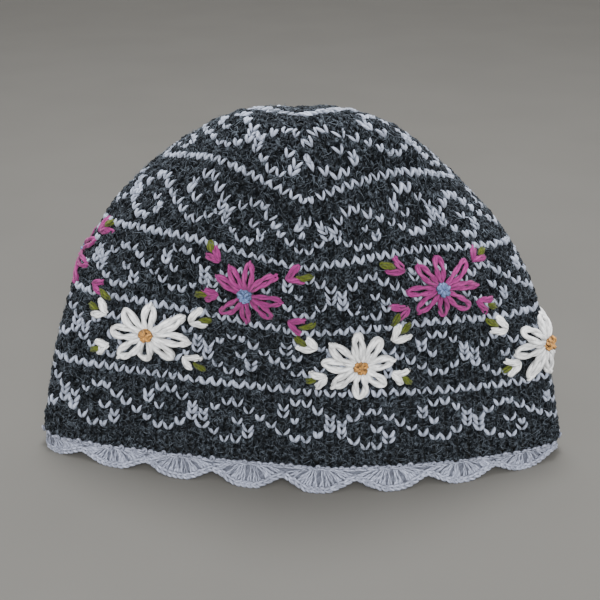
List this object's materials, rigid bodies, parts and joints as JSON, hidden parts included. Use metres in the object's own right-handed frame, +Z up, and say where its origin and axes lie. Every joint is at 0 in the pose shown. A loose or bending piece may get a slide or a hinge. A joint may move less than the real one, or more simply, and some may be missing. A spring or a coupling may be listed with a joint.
{
  "type": "knitted beanie",
  "caption": "Hand-knitted beanie in dark and pale yarn with vine scrolls, a crocheted scallop edging and embroidered daisies, standing on its rim.",
  "frame": {"origin": "middle of the rim, on the surface that the hat stands on", "axes": "+X along the long way of the pinched rim, to the right as the front is looked at, -Y towards the pictured front, +Z up to the crown's tip"},
  "size_m": [0.2592, 0.0888, 0.1779],
  "materials": {
    "body_yarn": "charcoal heather wool, knitted, matt with a woolly halo",
    "pale_yarn": "pale lilac-grey wool in the knitted pattern, matt",
    "edging_yarn": "pale lilac-grey wool, crocheted, matt",
    "white_yarn": "off-white wool embroidery, matt",
    "pink_yarn": "magenta pink wool embroidery, matt",
    "amber_yarn": "orange and yellow wool knot, matt",
    "blue_yarn": "pale blue wool knot, matt",
    "leaf_yarn": "variegated olive green wool embroidery, matt"
  },
  "bodies": {
    "root": {"knit_body": "body_yarn", "scallop_edging": "edging_yarn", "white_flower_1_petals": "white_yarn", "white_flower_1_knot": "amber_yarn", "white_flower_2_petals": "white_yarn", "white_flower_2_knot": "amber_yarn", "white_flower_3_petals": "white_yarn", "white_flower_3_knot": "amber_yarn", "white_flower_4_petals": "white_yarn", "white_flower_4_knot": "amber_yarn", "white_flower_5_petals": "white_yarn", "white_flower_5_knot": "amber_yarn", "pink_flower_1_petals": "pink_yarn", "pink_flower_1_knot": "blue_yarn", "pink_flower_2_petals": "pink_yarn", "pink_flower_2_knot": "blue_yarn", "pink_flower_3_petals": "pink_yarn", "pink_flower_3_knot": "blue_yarn", "pink_flower_4_petals": "pink_yarn", "pink_flower_4_knot": "blue_yarn", "pink_flower_5_petals": "pink_yarn", "pink_flower_5_knot": "blue_yarn"}
  },
  "joints": []
}
